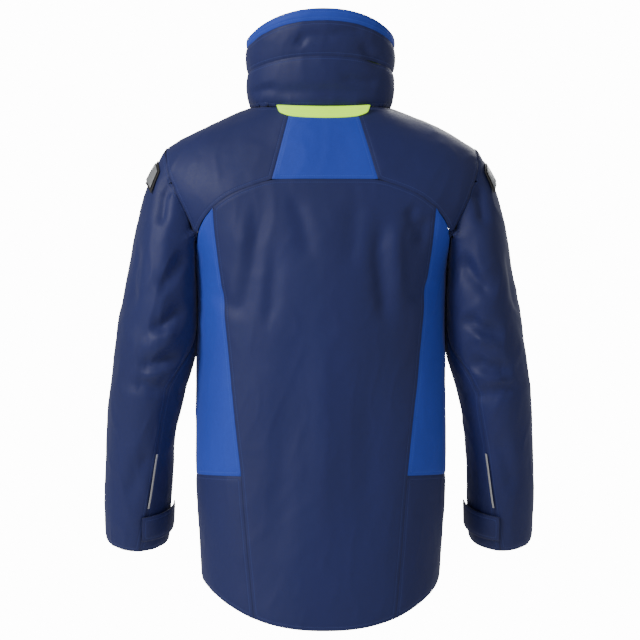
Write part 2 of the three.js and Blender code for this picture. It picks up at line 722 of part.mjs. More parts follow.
// ---------- front hardware ----------
// Everything on the zip line is built upright in a group that leans with it: local z runs up the
// zip from the top of the collar, local -y faces out, and y 0 is the middle of the front cloth.
const zipLean = Math.atan2(frontHemDepth - frontTopDepth, collarFrontTop + backLength - frontHemRise);
const zipLength = (collarFrontTop + backLength - frontHemRise) / Math.cos(zipLean);
const zipLine = new THREE.Group();
zipLine.position.set(0, -frontTopDepth, collarFrontTop);
zipLine.rotation.x = -zipLean;
jacket.add(zipLine);

const half = shellThickness / 2;
const toothDepth = 1.6;
const plateThickness = 1.4;

function addMainZip() {
  const tapeFront = half + 3 * layerGap;
  const row = [
    [zipSlit, -toothDepth / 2], [zipSlit + toothWidth, -toothDepth / 2], [zipSlit + toothWidth, tapeFront],
    [zipSlit + tapeWidth, tapeFront], [zipSlit + tapeWidth, tapeFront + 1], [zipSlit, tapeFront + 1],
  ];
  const left = welded(drawnOut(row, -zipLength + 4, -2));
  const right = mirrored(left);
  add('main_zip_left', left, zipPlastic(), zipLine);
  add('main_zip_right', right, zipPlastic(), zipLine);
}

// Two plates joined by a web that runs in the slit between the rows, with two ears for the puller.
function sliderGeometry(length, halfWidth, rear) {
  const front = -half - sliderClearance;
  const web = zipSlit - 0.45;
  const parts = [
    block(-halfWidth, halfWidth, front - plateThickness, front, -length, 0),
    block(-web, web, front - 0.2, rear + 0.2, -length, 0),
    block(-halfWidth, halfWidth, rear, rear + plateThickness, -length, 0),
  ];
  for (const side of [-1, 1]) parts.push(ear(side * (pullerNeck + 1.2), front - plateThickness));
  return joined(parts);
}

const pullerNeck = 2.2;           // half the width of the puller between the ears
const pinRadius = 0.9;
const earDepth = 4.4;
const earTop = -4;                // the pin's height below the slider's top
function ear(x, y) {
  const hole = new THREE.Path().absarc(-earDepth / 2, 0, pinRadius + 0.45, 0, Math.PI * 2, true);
  const outline = [[0.3, -2.6], [0.3, 2.6], [-earDepth, 2.2], [-earDepth, -2.2]];
  const tab = drawnOut(outline, -0.7, 0.7, hole);
  // the outline's x becomes y and its y becomes z
  tab.applyMatrix4(new THREE.Matrix4().makeBasis(
    new THREE.Vector3(0, 1, 0), new THREE.Vector3(0, 0, 1), new THREE.Vector3(1, 0, 0)));
  return tab.translate(x, y, earTop);
}

const pinDepth = -half - sliderClearance - plateThickness - earDepth / 2;
function pullerGeometry(length) {
  const pin = new THREE.CylinderGeometry(pinRadius, pinRadius, 2 * (pullerNeck + 1.7), 10)
    .rotateZ(Math.PI / 2)
    .translate(0, pinDepth, earTop);
  const neckHalf = pullerNeck - 0.5;
  const neck = block(-neckHalf, neckHalf, pinDepth - 0.6, pinDepth + 0.6, earTop - 9, earTop);
  const grip = block(-4.5, 4.5, pinDepth - 0.9, pinDepth + 0.9, earTop - length, earTop - 8);
  return joined([pin, neck, grip]);
}

function addZipSlider() {
  const rear = half + 3 * layerGap + 1 + sliderClearance;
  add('main_zip_slider', sliderGeometry(sliderLength, sliderHalfWidth, rear).translate(0, 0, -4),
    zipPlastic(), zipLine);
  add('main_zip_puller', pullerGeometry(pullerLength).translate(0, 0, -4), royal(), zipLine);
}

const flapTop = -(collarFrontTop + flapTopDrop) / Math.cos(zipLean);
const flapHinge = 36;             // zip centre to the flap's fold
function addStormFlap() {
  const inner = -half - flapStandoff;
  const foot = flapTop - flapLength;
  add('storm_flap', block(flapHinge - flapWidth, flapHinge, inner - 2.5, inner, foot, flapTop),
    navy(), zipLine);
  const cloth = -half - layerGap;
  const welt = block(flapHinge + layerGap, flapHinge + 9, inner - 2.5, cloth, foot, flapTop);
  add('storm_flap_welt', welt, navy(), zipLine);
  const strip = block(-24, -9, -half - 2.2, cloth, foot + 20, -collarFrontTop - 75);
  add('storm_flap_loop_strip', strip, darkTrim(), zipLine);
}

// A group whose local z runs up a line of the front, whose local -y faces out, and whose
// origin is the top point of the line, on the middle of the cloth.
function frontFrame(out, topZ, bottomZ, towardSide) {
  const top = bodyPoint(...atFront(out, topZ));
  const bottom = bodyPoint(...atFront(out, bottomZ));
  const up = top.clone().sub(bottom).normalize();
  const side = new THREE.Vector3(Math.cos(towardSide), Math.sin(towardSide), 0);
  const rear = up.clone().cross(side).normalize();
  const right = rear.clone().cross(up);
  return new THREE.Matrix4().makeBasis(right, rear, up).setPosition(top);
}

// The angle, seen from above, of the front cloth between two distances out.
function clothTurn(near, far, z) {
  const a = bodyPoint(...atFront(near, z));
  const b = bodyPoint(...atFront(far, z));
  return Math.atan2(b.y - a.y, b.x - a.x);
}

function addChestZips() {
  const turn = clothTurn(chestZipOut - 8, chestZipOut + 8, -chestZipDrop);
  const frame = frontFrame(chestZipOut, -chestZipDrop, -chestZipDrop - chestZipLength, turn);
  const face = -half - 0.8;
  const outline = [
    [-8, face], [8, face], [8, face - 1], [2.2, face - 1], [2.2, face - 2.6],
    [-2.2, face - 2.6], [-2.2, face - 1], [-8, face - 1],
  ];
  const zip = welded(drawnOut(outline, -chestZipLength, 0)).applyMatrix4(frame);
  addPair('chest_zip', zip, zipPlastic);
  const saddle = [];
  const [low, high] = [face - 1.5, face - 2.6 - sliderClearance];
  saddle.push(block(-4, 4, high - plateThickness, high, -12, 0));
  for (const side of [-1, 1]) {
    saddle.push(block(side * 3.35 - 0.65, side * 3.35 + 0.65, high - 0.3, low, -12, 0));
    saddle.push(ear(side * (pullerNeck + 1.2), high - plateThickness + 0.01));
  }
  const shift = high - plateThickness + half + sliderClearance + plateThickness;
  addPair('chest_zip_slider', joined(saddle).translate(0, 0, -1).applyMatrix4(frame), zipPlastic);
  const puller = pullerGeometry(pullerLength * 0.8).translate(0, shift, -1).applyMatrix4(frame);
  addPair('chest_zip_puller', puller, royal);
}

function addPockets() {
  const pocketOut = pocketInset + pocketWidth / 2;
  const turn = clothTurn(pocketOut - pocketWidth / 2, pocketOut + pocketWidth / 2, -pocketDrop);
  const frame = frontFrame(pocketOut, -pocketDrop, -pocketDrop - pocketHeight, turn);
  const wide = pocketWidth / 2;
  const front = -half - 17;        // middle of the pocket's front wall
  addPair('pocket_wall',
    block(-wide, wide, front - 1.5, front + 1.5, -pocketHeight, 0).applyMatrix4(frame), navy);
  addPair('pocket_gusset', gussetGeometry(frame, wide, front + 1.5 + layerGap), navy);
  const flapInner = front - 2.3;
  const flapFoot = pocketFlapLap - pocketFlapHeight;
  const flap = block(-wide - 4, wide + 4, flapInner - 2.5, flapInner, flapFoot, pocketFlapLap);
  addPair('pocket_flap', flap.applyMatrix4(frame), navy);
  const rail = bentBox(8, 1, (i, j, outside) => {
    const across = mix(-wide, wide, i / 8);
    const height = mix(pocketFlapLap - 9, pocketFlapLap, j);
    const local = new THREE.Vector3(across, flapInner + layerGap, height);
    return outside ? local.applyMatrix4(frame) : ontoBody(local.applyMatrix4(frame));
  });
  addPair('pocket_rail', rail, navy);
}

// The point of the outer face of the front cloth straight behind a point, with a layer's gap.
function ontoBody(point) {
  const [angle, z] = atFront(Math.abs(point.x), point.z);
  return bodyPoint(angle, z).addScaledVector(plainBodyNormal(angle, z), half + layerGap + 0.6);
}

// A strip down one side of the pocket, under its foot and up the other side.
function gussetGeometry(frame, wide, front) {
  const inset = 3;
  const corner = pocketHeight - inset;
  const path = chain(
    straight(3, [-wide + inset, 0], [-wide + inset, -corner + 8]),
    straight(1, [-wide + inset, -corner + 8], [-wide + inset + 8, -corner]),
    straight(6, [-wide + inset + 8, -corner], [wide - inset - 8, -corner]),
    straight(1, [wide - inset - 8, -corner], [wide - inset, -corner + 8]),
    straight(3, [wide - inset, -corner + 8], [wide - inset, 0]),
  );
  const last = path.length - 1;
  return bentBox(last, 1, (i, j, outside) => {
    const before = path[Math.max(i - 1, 0)];
    const after = path[Math.min(i + 1, last)];
    const run = new THREE.Vector2(after[0] - before[0], after[1] - before[1]).normalize();
    const offset = outside ? 1.2 : -1.2;
    const local = new THREE.Vector3(path[i][0] + run.y * offset, front, path[i][1] - run.x * offset);
    const atFrontFace = local.applyMatrix4(frame);
    return j ? atFrontFace : ontoBody(atFrontFace);
  });
}

addBackPanels();
addSidePanels();
addFrontPanels();
addSleeves();
addSleeveTrims();
addCuffTabs();
addCollar();
addHood();
addHemFacing();
addHangerLoop();
addMainZip();
addZipSlider();
addStormFlap();
addChestZips();
addPockets();
jacket.position.y = -loopCentre;

export default jacket;
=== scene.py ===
# %% [markdown]
# A foul weather jacket hangs in its worn shape. The frame below holds every rigid plate of it;
# this lesson turns the plates into cloth, trims and fittings. Everything is in metres, +Z is up,
# the back faces +Y and the origin is where a peg carries the hanger loop.

# %% Load the frame
import bpy
import bmesh
import math
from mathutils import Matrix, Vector, kdtree, noise


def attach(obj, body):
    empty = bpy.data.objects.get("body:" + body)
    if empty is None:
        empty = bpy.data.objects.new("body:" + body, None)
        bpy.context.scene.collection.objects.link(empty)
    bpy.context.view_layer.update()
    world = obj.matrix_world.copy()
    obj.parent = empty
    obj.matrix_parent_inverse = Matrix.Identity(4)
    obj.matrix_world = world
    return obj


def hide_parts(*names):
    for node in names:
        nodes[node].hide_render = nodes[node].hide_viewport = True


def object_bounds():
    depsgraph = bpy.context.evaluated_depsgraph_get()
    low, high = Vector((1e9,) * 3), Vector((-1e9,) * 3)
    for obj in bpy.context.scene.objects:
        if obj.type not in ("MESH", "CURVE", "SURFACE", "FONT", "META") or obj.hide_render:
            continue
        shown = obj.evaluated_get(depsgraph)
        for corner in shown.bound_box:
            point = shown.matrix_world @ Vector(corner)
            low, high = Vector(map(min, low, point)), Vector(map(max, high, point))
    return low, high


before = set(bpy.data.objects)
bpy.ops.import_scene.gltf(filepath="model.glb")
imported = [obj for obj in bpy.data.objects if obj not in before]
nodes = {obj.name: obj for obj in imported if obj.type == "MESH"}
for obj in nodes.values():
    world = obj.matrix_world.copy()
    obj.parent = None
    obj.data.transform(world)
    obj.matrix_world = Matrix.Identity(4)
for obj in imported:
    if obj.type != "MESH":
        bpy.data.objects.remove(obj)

cad_low, cad_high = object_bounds()
SHELL = "shell"
print("frame", len(nodes), "nodes", [round(v, 3) for v in cad_low], [round(v, 3) for v in cad_high])

# %% [markdown]
# The jacket is seen square from behind, a little toward the wearer's left, through a long lens
# so that the sleeves and the back keep one scale.

# %% Camera
VIEW_FROM = math.radians(177)
DISTANCE = 8.0
RISE = 0.012
LOOK_AT = Vector((0.001, -0.06, -0.327))
LENS_MM = 291
SENSOR_MM = 36
camera_data = bpy.data.cameras.new("camera")
camera_data.lens = LENS_MM
camera_data.sensor_width = SENSOR_MM
camera = bpy.data.objects.new("camera", camera_data)
bpy.context.scene.collection.objects.link(camera)
camera.location = LOOK_AT + DISTANCE * Vector((math.sin(VIEW_FROM), -math.cos(VIEW_FROM), RISE))
camera.rotation_euler = (LOOK_AT - camera.location).to_track_quat("-Z", "Y").to_euler()
bpy.context.scene.camera = camera
print("camera at", [round(v, 2) for v in camera.location])

# %% [markdown]
# The studio is a pale floor well below the hem, a white surround, a large soft key light on the
# camera's left and a weaker one on its right. A third light shows the front when the jacket is
# turned. The surround is bright only to the camera, so the cloth keeps its shading.

# %% Studio
LIT_POINT = Vector((0, 0, -0.35))


def area_light(name, place, size, power):
    data = bpy.data.lights.new(name, "AREA")
    data.shape = "DISK"
    data.size = size
    data.energy = power
    light = bpy.data.objects.new(name, data)
    bpy.context.scene.collection.objects.link(light)
    light.location = place
    light.rotation_euler = (LIT_POINT - light.location).to_track_quat("-Z", "Y").to_euler()
    return light


area_light("key", Vector((2.5, 2.0, 1.3)), 1.1, 92)
area_light("fill", Vector((-2.2, 2.6, 0.6)), 1.6, 7)
area_light("front_key", Vector((-1.2, -2.6, 1.2)), 1.6, 45)

SURROUND = 0.3
BACKDROP = 14.0
world = bpy.data.worlds.new("studio")
world.use_nodes = True
bpy.context.scene.world = world
sky = world.node_tree
surround = sky.nodes["Background"]
surround.inputs["Color"].default_value = (0.93, 0.95, 1.0, 1)
surround.inputs["Strength"].default_value = SURROUND
white = sky.nodes.new("ShaderNodeBackground")
white.inputs["Color"].default_value = (1, 1, 1, 1)
white.inputs["Strength"].default_value = BACKDROP
seen = sky.nodes.new("ShaderNodeLightPath")
either = sky.nodes.new("ShaderNodeMixShader")
sky.links.new(seen.outputs["Is Camera Ray"], either.inputs["Fac"])
sky.links.new(surround.outputs[0], either.inputs[1])
sky.links.new(white.outputs[0], either.inputs[2])
sky.links.new(either.outputs[0], sky.nodes["World Output"].inputs["Surface"])

FLOOR_HEIGHT = -1.45
FLOOR_RADIUS = 3.4
floor_mesh = bmesh.new()
bmesh.ops.create_circle(floor_mesh, cap_ends=True, segments=128, radius=FLOOR_RADIUS)
bmesh.ops.translate(floor_mesh, verts=floor_mesh.verts, vec=(0, 0, FLOOR_HEIGHT))
floor_data = bpy.data.meshes.new("floor")
floor_mesh.to_mesh(floor_data)
floor_mesh.free()
floor = bpy.data.objects.new("floor", floor_data)
bpy.context.scene.collection.objects.link(floor)

# %% [markdown]
# Cloth colour is never one flat value. Each cloth has a fine woven grain, made of two stretched
# noises for the threads that run round and down, a slow drift of tone, a line of topstitching
# beside every seam, and painted shade that darkens the colour within 1.6 mm of the panel's edge. The
# stitching reads two numbers kept on the piece: how far a point is from the panel's edge, and how far
# along the edge it is; the painted seam shade reads the first of them.

# %% Materials
THREAD_SCALE = 2100
STITCH_INSET = 0.0055
STITCH_PITCH = 0.0034


def node_maker(material):
    tree = material.node_tree

    def make(kind, values=(), **settings):
        made = tree.nodes.new("ShaderNode" + kind)
        for key, value in settings.items():
            setattr(made, key, value)
        for socket, value in dict(values).items():
            if isinstance(value, bpy.types.NodeSocket):
                tree.links.new(value, made.inputs[socket])
            else:
                made.inputs[socket].default_value = value
        return made
    return make


# a Mix node's two colours and its coloured result, by place, since its sockets share their names
MIX_A, MIX_B, MIX_RESULT = 6, 7, 2


def plain_material(name, colour, roughness):
    material = bpy.data.materials.new(name)
    material.use_nodes = True
    material.diffuse_color = (*colour, 1)
    shader = material.node_tree.nodes["Principled BSDF"]
    shader.inputs["Base Color"].default_value = (*colour, 1)
    shader.inputs["Roughness"].default_value = roughness
    return material, shader, node_maker(material)


def stretched_noise(make, place, stretch, scale, detail=2.0):
    mapping = make("Mapping", {"Vector": place, "Scale": stretch})
    return make("TexNoise", {"Vector": mapping.outputs[0], "Scale": scale, "Detail": detail})


def cloth_material(name, colour, thread, roughness=0.62, grain=0.25, sheen=0.12, painted_glow=0.0):
    material, shader, make = plain_material(name, colour, roughness)
    tree = material.node_tree
    place = make("TexCoord").outputs["Object"]
    round_threads = stretched_noise(make, place, (0.12, 0.12, 1), THREAD_SCALE)
    down_threads = stretched_noise(make, place, (1, 1, 0.12), THREAD_SCALE)
    weave = make("Math", {0: round_threads.outputs["Fac"], 1: down_threads.outputs["Fac"]},
                 operation="MULTIPLY")
    drift = stretched_noise(make, place, (1, 1, 0.45), 7, 3)
    tone = make("MapRange", {"Value": drift.outputs["Fac"], "From Min": 0.3, "From Max": 0.7,
                             "To Min": 0.9, "To Max": 1.1})
    fleck = make("MapRange", {"Value": weave.outputs[0], "From Min": 0.1, "From Max": 0.45,
                              "To Min": 0.86, "To Max": 1.14})
    shade = make("Math", {0: tone.outputs[0], 1: fleck.outputs[0]}, operation="MULTIPLY")
    base = make("VectorMath", {0: colour, "Scale": shade.outputs[0]}, operation="SCALE")

    edge = make("Attribute", attribute_name="edge_distance").outputs["Fac"]
    along = make("Attribute", attribute_name="edge_along").outputs["Fac"]
    off_line = make("Math", {0: edge, 1: STITCH_INSET}, operation="SUBTRACT")
    off_line = make("Math", {0: off_line.outputs[0]}, operation="ABSOLUTE")
    on_line = make("MapRange", {"Value": off_line.outputs[0], "From Min": 0.0003, "From Max": 0.0009,
                                "To Min": 1, "To Max": 0})
    beat = make("Math", {0: along, 1: 2 * math.pi / STITCH_PITCH}, operation="MULTIPLY")
    beat = make("Math", {0: beat.outputs[0]}, operation="SINE")
    dash = make("MapRange", {"Value": beat.outputs[0], "From Min": -0.75, "From Max": -0.45})
    stitch = make("Math", {0: on_line.outputs[0], 1: dash.outputs[0]}, operation="MULTIPLY")
    # painted shade: within 1.6 mm of the panel's edge the colour darkens to 55 percent, standing in for
    # the shade in the seam crease
    crease = make("MapRange", {"Value": edge, "From Min": 0.0, "From Max": 0.0016,
                               "To Min": 0.55, "To Max": 1})
    with_painted_seam_shade = make("VectorMath", {0: base.outputs[0], "Scale": crease.outputs[0]}, operation="SCALE")
    colours = make("Mix", {"Factor": stitch.outputs[0], MIX_A: with_painted_seam_shade.outputs[0], MIX_B: (*thread, 1)},
                   data_type="RGBA")
    tree.links.new(colours.outputs[MIX_RESULT], shader.inputs["Base Color"])

    puckers = make("MapRange", {"Value": off_line.outputs[0], "From Min": 0.0, "From Max": 0.0022,
                                "To Min": -1.0, "To Max": 0.0})
    height = make("Math", {0: puckers.outputs[0], 1: stitch.outputs[0]}, operation="ADD")
    groove = make("Bump", {"Strength": 0.6, "Distance": 0.0005, "Height": height.outputs[0]})
    fine = make("Bump", {"Strength": grain, "Distance": 0.0003, "Height": weave.outputs[0],
                         "Normal": groove.outputs[0]})
    crumple = stretched_noise(make, place, (1, 1, 0.7), 60, 3)
    soft = make("Bump", {"Strength": 0.10, "Distance": 0.003, "Height": crumple.outputs["Fac"],
                         "Normal": fine.outputs[0]})
    tree.links.new(soft.outputs[0], shader.inputs["Normal"])
    rough = make("MapRange", {"Value": weave.outputs[0], "From Min": 0.1, "From Max": 0.45,
                              "To Min": roughness - 0.08, "To Max": roughness + 0.1})
    tree.links.new(rough.outputs[0], shader.inputs["Roughness"])
    shader.inputs["Sheen Weight"].default_value = sheen
    shader.inputs["Sheen Roughness"].default_value = 0.5
    # the emission set here makes a cloth glow in its own colour: painted light, used only for the hi-vis
    # cloth
    shader.inputs["Emission Color"].default_value = (*colour, 1)
    shader.inputs["Emission Strength"].default_value = painted_glow
    return material


navy = cloth_material("navy_cloth", (0.0075, 0.0145, 0.108), (0.018, 0.032, 0.17))
royal = cloth_material("royal_cloth", (0.013, 0.056, 0.48), (0.024, 0.08, 0.55))
# the hi-vis cloth glows with emission strength 1.2: painted light standing in for its fluorescent
# brightness
hi_vis = cloth_material("hi_vis_cloth", (0.5, 0.95, 0.0), (0.6, 0.9, 0.1), roughness=0.5, painted_glow=1.2)
lining = cloth_material("lining_cloth", (0.014, 0.017, 0.035), (0.02, 0.025, 0.05), roughness=0.85,
                        sheen=0.4)


def trim_material(name, colour, roughness, metallic=0.0, scale=400, bump=0.15):
    material, shader, make = plain_material(name, colour, roughness)
    tree = material.node_tree
    place = make("TexCoord").outputs["Object"]
    grit = make("TexNoise", {"Vector": place, "Scale": scale, "Detail": 3})
    wear = make("TexNoise", {"Vector": place, "Scale": 30, "Detail": 2})
    tone = make("MapRange", {"Value": wear.outputs["Fac"], "From Min": 0.3, "From Max": 0.7,
                             "To Min": 0.85, "To Max": 1.15})
    shade = make("VectorMath", {0: colour, "Scale": tone.outputs[0]}, operation="SCALE")
    tree.links.new(shade.outputs[0], shader.inputs["Base Color"])
    lumps = make("Bump", {"Strength": bump, "Distance": 0.0004, "Height": grit.outputs["Fac"]})
    tree.links.new(lumps.outputs[0], shader.inputs["Normal"])
    rough = make("MapRange", {"Value": grit.outputs["Fac"], "To Min": roughness - 0.08,
                              "To Max": roughness + 0.08})
    tree.links.new(rough.outputs[0], shader.inputs["Roughness"])
    shader.inputs["Metallic"].default_value = metallic
    return material


def beaded_material(name, colour, bead):
    material, shader, make = plain_material(name, colour, 0.4)
    tree = material.node_tree
    place = make("TexCoord").outputs["Object"]
    cells = make("TexVoronoi", {"Vector": place, "Scale": bead})
    tone = make("MapRange", {"Value": cells.outputs["Distance"], "From Max": 0.6,
                             "To Min": 1.1, "To Max": 0.72})
    shade = make("VectorMath", {0: colour, "Scale": tone.outputs[0]}, operation="SCALE")
    tree.links.new(shade.outputs[0], shader.inputs["Base Color"])
    lumps = make("Bump", {"Strength": 0.3, "Distance": 0.0004, "Height": cells.outputs["Distance"]})
    tree.links.new(lumps.outputs[0], shader.inputs["Normal"])
    shader.inputs["Metallic"].default_value = 0.25
    return material


def zip_material(name, colour, pitch):
    material, shader, make = plain_material(name, colour, 0.4)
    tree = material.node_tree
    place = make("SeparateXYZ", {"Vector": make("TexCoord").outputs["Object"]})
    turn = make("Math", {0: place.outputs["Z"], 1: 2 * math.pi / pitch}, operation="MULTIPLY")
    teeth = make("Math", {0: turn.outputs[0]}, operation="SINE")
    tone = make("MapRange", {"Value": teeth.outputs[0], "From Min": -0.6, "From Max": 0.4,
                             "To Min": 0.35, "To Max": 1.5})
    shade = make("VectorMath", {0: colour, "Scale": tone.outputs[0]}, operation="SCALE")
    tree.links.new(shade.outputs[0], shader.inputs["Base Color"])
    ribs = make("Bump", {"Strength": 0.8, "Distance": 0.0008, "Height": teeth.outputs[0]})
    tree.links.new(ribs.outputs[0], shader.inputs["Normal"])
    return material


zip_rows = zip_material("zip_rows", (0.02, 0.024, 0.04), 0.0029)
rubber = trim_material("dark_rubber", (0.028, 0.026, 0.026), 0.6)
zip_plastic = trim_material("zip_plastic", (0.012, 0.015, 0.03), 0.42)
puller_plastic = trim_material("puller_plastic", (0.021, 0.075, 0.36), 0.4)
tape = trim_material("woven_tape", (0.014, 0.02, 0.055), 0.8, scale=900, bump=0.4)
hook_pile = trim_material("hook_pile", (0.012, 0.016, 0.03), 0.95, scale=1400, bump=0.9)
reflector = beaded_material("reflector", (0.42, 0.43, 0.44), 620)
piping_silver = beaded_material("piping_silver", (0.62, 0.61, 0.6), 900)
paper = trim_material("studio_floor", (0.86, 0.86, 0.86), 0.8, scale=3)
floor.data.materials.append(paper)
print("materials", len(bpy.data.materials))

# %% [markdown]
# A cloth plate in the frame is a thin closed solid. Its outer skin is the larger of its two smooth
# faces or, where a flat plate's two faces are equal, the one farther from the jacket's middle. A
# copy is merged, the skin is kept and its triangles are paired back into four-sided cells. Those
# cells follow the seams, as the threads of the panel do. Faces and edges are taken in their own
# order, never from a set, so that each run gives the same cloth.

# %% The outer skin of a plate
SMOOTH_TURN = math.radians(48)
SAME_PLACE = 2e-6
MIDDLE = (cad_low + cad_high) / 2


def smooth_regions(mesh):
    waiting = dict.fromkeys(mesh.faces)
    while waiting:
        front = [next(iter(waiting))]
        del waiting[front[0]]
        region = list(front)
        while front:
            face = front.pop()
            for edge in face.edges:
                for other in edge.link_faces:
                    if other in waiting and edge.calc_face_angle(math.pi) < SMOOTH_TURN:
                        del waiting[other]
                        front.append(other)
                        region.append(other)
        yield region


def merged_copy(node):
    mesh = bmesh.new()
    mesh.from_mesh(nodes[node].data)
    bmesh.ops.remove_doubles(mesh, verts=mesh.verts, dist=SAME_PLACE)
    return mesh


def area_then_outwardness(region):
    area = sum(face.calc_area() for face in region)
    outwardness = sum((face.calc_center_median() - MIDDLE).xy.length for face in region) / len(region)
    return round(area, 6), outwardness


def outer_skin(node):
    mesh = merged_copy(node)
    keep = set(max(smooth_regions(mesh), key=area_then_outwardness))
    bmesh.ops.delete(mesh, geom=[face for face in mesh.faces if face not in keep], context="FACES")
    bmesh.ops.join_triangles(mesh, faces=mesh.faces, angle_face_threshold=3.1, angle_shape_threshold=3.1)
    return mesh


CELL = 0.05
CORNER_TURN = math.radians(40)


def split_long_cells(mesh):
    for _ in range(2):
        longest = max(edge.calc_length() for edge in mesh.edges)
        if longest < 2 * CELL:
            return
        long_edges = [edge for edge in mesh.edges if edge.calc_length() > 0.7 * longest]
        bmesh.ops.subdivide_edges(mesh, edges=long_edges, cuts=int(longest / CELL), use_grid_fill=True)


def made_object(name, mesh, material):
    data = bpy.data.meshes.new(name)
    mesh.to_mesh(data)
    mesh.free()
    for polygon in data.polygons:
        polygon.use_smooth = True
    data.materials.append(material)
    made = bpy.data.objects.new(name, data)
    bpy.context.scene.collection.objects.link(made)
    return made


def turns_sharply(vert):
    ways = [edge.other_vert(vert).co - vert.co for edge in vert.link_edges if edge.is_boundary]
    return len(ways) == 2 and ways[0].angle(-ways[1]) > CORNER_TURN


def subdivided(mesh, levels):
    mesh.verts.index_update()
    corners = [vert.index for vert in mesh.verts if vert.is_boundary and turns_sharply(vert)]
    helper = made_object("helper", mesh, navy)
    crease = helper.data.attributes.new("crease_vert", "FLOAT", "POINT")
    for index in corners:
        crease.data[index].value = 1.0
    finer = helper.modifiers.new("subdivide", "SUBSURF")
    finer.levels = finer.render_levels = levels
    finer.boundary_smooth = "PRESERVE_CORNERS"
    ready = helper.evaluated_get(bpy.context.evaluated_depsgraph_get())
    result = bmesh.new()
    result.from_mesh(ready.to_mesh())
    ready.to_mesh_clear()
    bpy.data.objects.remove(helper)
    return result


print("back skin", len(outer_skin("back_panel").faces), "cells")

# %% [markdown]
# Cloth hangs in folds. Each main fold is drawn once as a run of points across and down the jacket,
# with a width and a depth: a valley is a negative depth. It is a smooth furrow that fades at its
# ends. Small wandering creases come from a noise that is stretched down the cloth, and they are
# stronger where sleeves bend. All pieces read the same folds, so that a fold crosses a seam.

# %% Folds
MM = 0.001
BACK, FRONT = 1, -1
SLEEVE_OUT = 0.2
SLEEVE_FOLDS, BODY_FOLDS = 1.7, 1.15
ELBOW_HEIGHT, ELBOW_SPREAD = -0.37, 0.11

# side of the jacket, width and depth in millimetres, then points (across, height) in millimetres
FOLDS = [
    (BACK, 15, -5.0, [(98, -137), (112, -230), (130, -337)]),
    (BACK, 13, -3.5, [(76, -205), (80, -270), (88, -350)]),
    (BACK, 13, -3.0, [(50, -128), (36, -175), (22, -240)]),
    (BACK, 13, -3.0, [(-48, -140), (-42, -190), (-37, -250)]),
    (BACK, 14, -6.5, [(-84, -158), (-82, -225), (-88, -280), (-97, -345)]),
    (BACK, 10, -4.0, [(-128, -150), (-136, -175), (-140, -195)]),
    (BACK, 10, -4.0, [(-143, -215), (-150, -192), (-158, -166)]),
    (BACK, 12, 3.5, [(-112, -165), (-108, -230), (-116, -300)]),
    (BACK, 16, 3.0, [(118, -165), (128, -240), (140, -320)]),
    (BACK, 20, -2.5, [(60, -420), (66, -560), (72, -700)]),
    (BACK, 22, -2.5, [(-70, -400), (-66, -540), (-60, -690)]),
    (BACK, 22, 2.5, [(10, -330), (4, -500), (0, -690)]),
    (BACK, 12, -3.0, [(165, -275), (150, -300), (120, -312)]),
    (BACK, 12, -3.0, [(-168, -265), (-150, -285), (-128, -300)]),
    # sleeves from behind: pulls below the armhole and creases at the elbow
    (BACK, 11, -5.0, [(236, -112), (246, -140), (252, -185)]),
    (BACK, 12, -4.0, [(206, -215), (232, -260), (258, -285)]),
    (BACK, 12, -5.0, [(208, -300), (236, -330), (270, -345)]),
    (BACK, 11, -5.0, [(222, -372), (250, -392), (290, -398)]),
    (BACK, 11, -4.0, [(226, -430), (256, -432), (300, -420)]),
    (BACK, 12, 3.5, [(214, -340), (246, -362), (284, -372)]),
    (BACK, 14, -3.0, [(262, -520), (284, -560), (300, -610)]),
    (BACK, 11, -5.0, [(-232, -112), (-242, -140), (-248, -185)]),
    (BACK, 12, -5.0, [(-206, -225), (-230, -262), (-262, -290)]),
    (BACK, 12, -5.5, [(-210, -318), (-240, -340), (-282, -350)]),
    (BACK, 11, -5.0, [(-222, -385), (-252, -400), (-296, -404)]),
    (BACK, 11, -4.0, [(-226, -440), (-262, -440), (-304, -424)]),
    (BACK, 14, -3.0, [(-262, -500), (-286, -545), (-300, -600)]),
    (BACK, 7, 3.0, [(212, -312), (238, -346), (272, -356)]),
    (BACK, 7, 2.5, [(220, -395), (252, -408), (284, -410)]),
    (BACK, 7, 3.0, [(-214, -330), (-244, -356), (-280, -366)]),
    (BACK, 7, 2.5, [(-222, -402), (-254, -416), (-290, -418)]),
    (BACK, 9, -3.5, [(284, -200), (290, -260), (296, -320)]),
    (BACK, 9, -3.5, [(-288, -210), (-294, -262), (-300, -316)]),
    # collar: soft breaks over the rolled hood
    (BACK, 7, -3.0, [(-66, 116), (-42, 116), (-8, 112)]),
    (BACK, 7, -2.5, [(44, 106), (10, 109), (-24, 104)]),
    (BACK, 8, -4.0, [(-98, 62), (-76, 74), (-56, 98)]),
    (BACK, 7, -3.5, [(-22, 44), (-50, 40), (-92, 38)]),
    (BACK, 7, -3.0, [(114, 20), (96, 26), (70, 30)]),
    (BACK, 8, -3.5, [(44, 104), (34, 98), (28, 94)]),
    (BACK, 9, -3.0, [(-104, 22), (0, 25), (104, 22)]),
    # front: soft drags from the pockets and the shoulders
    (FRONT, 16, -4.0, [(100, -130), (112, -190), (130, -260)]),
    (FRONT, 16, -4.0, [(-100, -130), (-112, -190), (-130, -260)]),
    (FRONT, 18, -4.0, [(120, -400), (126, -440), (150, -470)]),
    (FRONT, 18, -4.0, [(-120, -400), (-126, -440), (-150, -470)]),
    (FRONT, 12, -5.0, [(214, -320), (246, -345), (300, -350)]),
    (FRONT, 12, -5.0, [(220, -390), (256, -405), (312, -400)]),
    (FRONT, 12, -5.0, [(-214, -320), (-246, -345), (-300, -350)]),
    (FRONT, 12, -5.0, [(-220, -390), (-256, -405), (-312, -400)]),
]


def fold_runs():
    for side, width, depth, points in FOLDS:
        path = [Vector((x * MM, z * MM)) for x, z in points]
        reach = 3 * width * MM
        xs = [point.x for point in path]
        zs = [point.y for point in path]
        box = (min(xs) - reach, max(xs) + reach, min(zs) - reach, max(zs) + reach)
        yield side, width * MM, depth * MM, path, box


RUNS = list(fold_runs())


